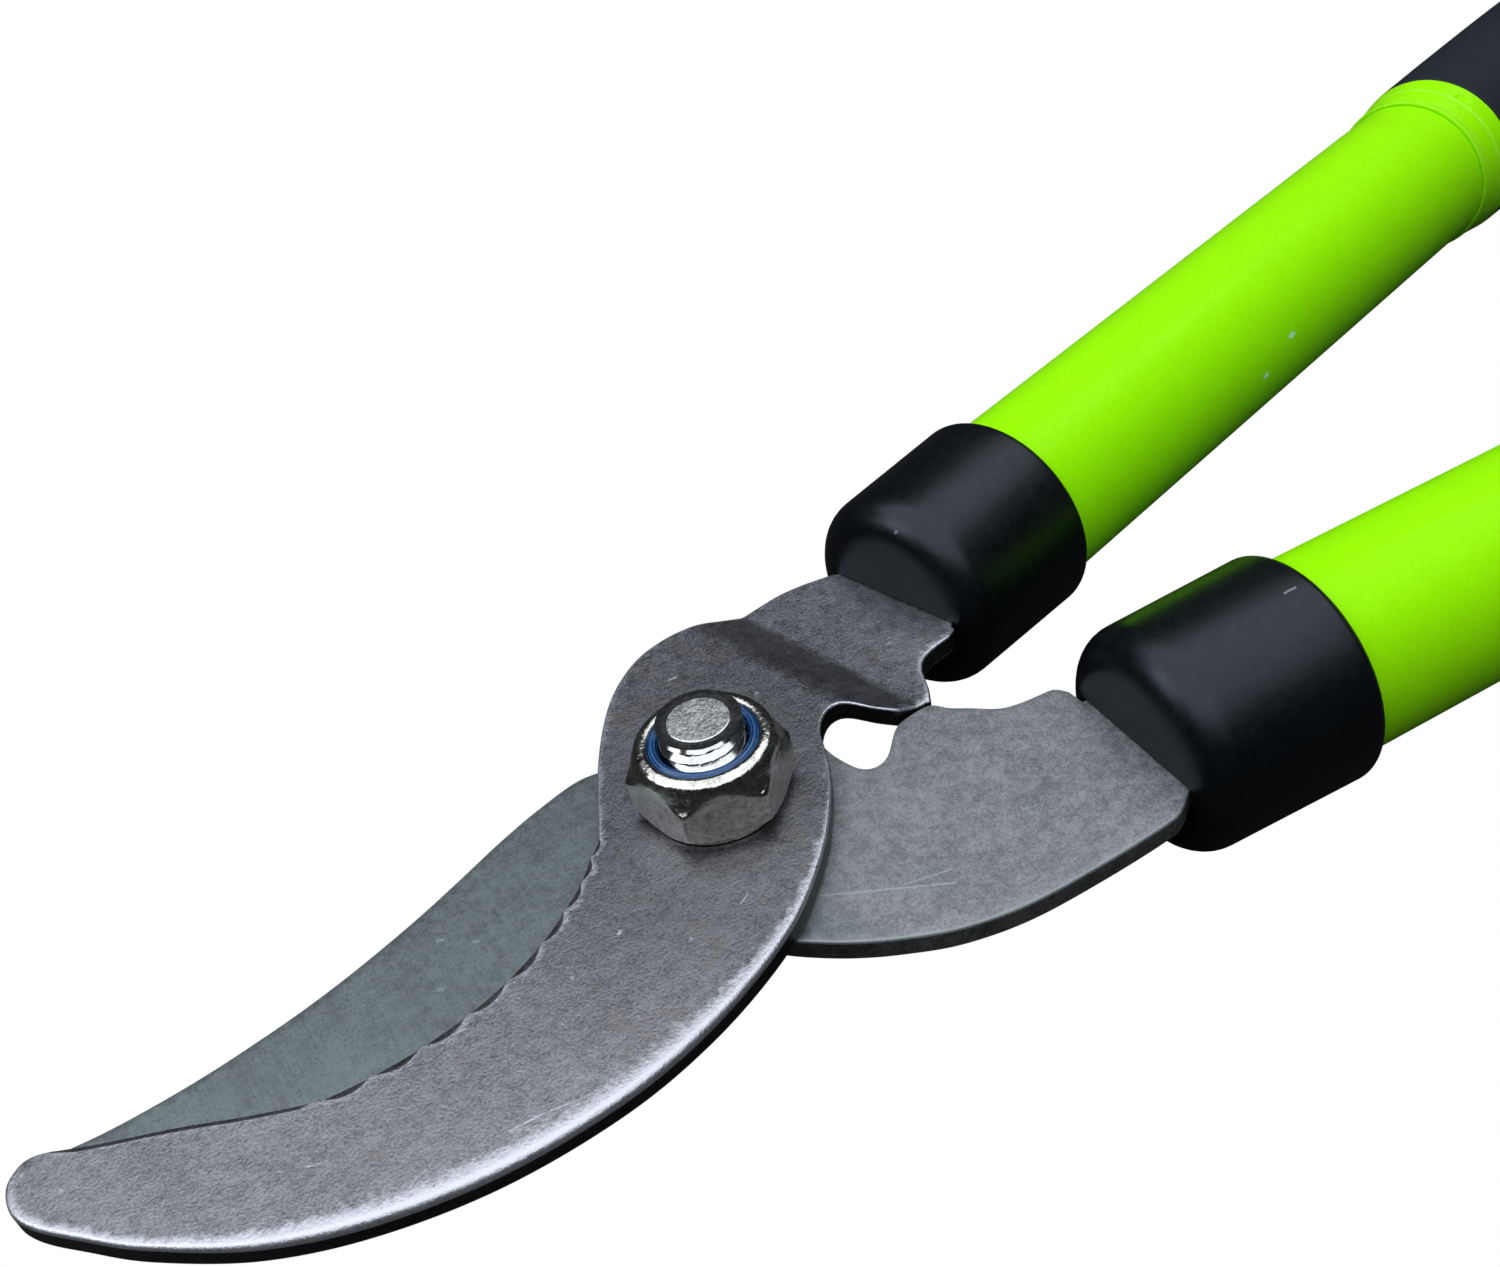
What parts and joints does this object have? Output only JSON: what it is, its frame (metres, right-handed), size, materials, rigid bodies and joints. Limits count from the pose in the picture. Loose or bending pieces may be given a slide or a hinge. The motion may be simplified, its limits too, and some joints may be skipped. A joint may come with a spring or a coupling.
{
  "type": "bypass loppers",
  "caption": "Long-handled bypass loppers: a hooked counter blade and a curved cutting blade on a pivot bolt, with round tube handles, collars and grips.",
  "frame": {"origin": "on the pivot axis, at the outer face of the pivot bolt's head", "axes": "+X back between the two handles, +Z along the pivot bolt towards the lock nut, +Y towards the hook's handle"},
  "size_m": [0.4778, 0.1843, 0.0318],
  "materials": {
    "tumbled_steel": "tumbled satin grey steel, worn bright on the back edge",
    "ground_steel": "ground satin steel with fine grinding lines",
    "bolt_steel": "zinc-plated steel",
    "nickel_plate": "bright plated steel",
    "blue_nylon": "smooth blue nylon",
    "black_plastic": "satin black moulded plastic",
    "lime_paint": "glossy lime green paint",
    "grey_plastic": "plain moulded plastic",
    "grip_rubber": "matte blue-black rubber"
  },
  "bodies": {
    "hook_side": {"hook_blade": "tumbled_steel", "pivot_bolt": "bolt_steel", "pivot_washer": "bolt_steel", "lock_nut": "nickel_plate", "lock_nut_insert": "blue_nylon", "hook_collar": "black_plastic", "hook_tube": "lime_paint", "hook_tang_plug": "grey_plastic", "hook_tang_rivet": "bolt_steel", "hook_ferrule": "lime_paint", "hook_grip": "grip_rubber", "hook_end_cap": "black_plastic"},
    "blade_side": {"cutting_blade": "ground_steel", "blade_collar": "black_plastic", "blade_tube": "lime_paint", "blade_tang_plug": "grey_plastic", "blade_tang_rivet": "bolt_steel", "blade_ferrule": "lime_paint", "blade_grip": "grip_rubber", "blade_end_cap": "black_plastic"}
  },
  "joints": [
    {"name": "pivot", "type": "hinge", "parent": "hook_side", "child": "blade_side", "pos_m": [0, 0, 0.0098], "axis": [0, 0, -1], "range_deg": [0, 55]}
  ]
}
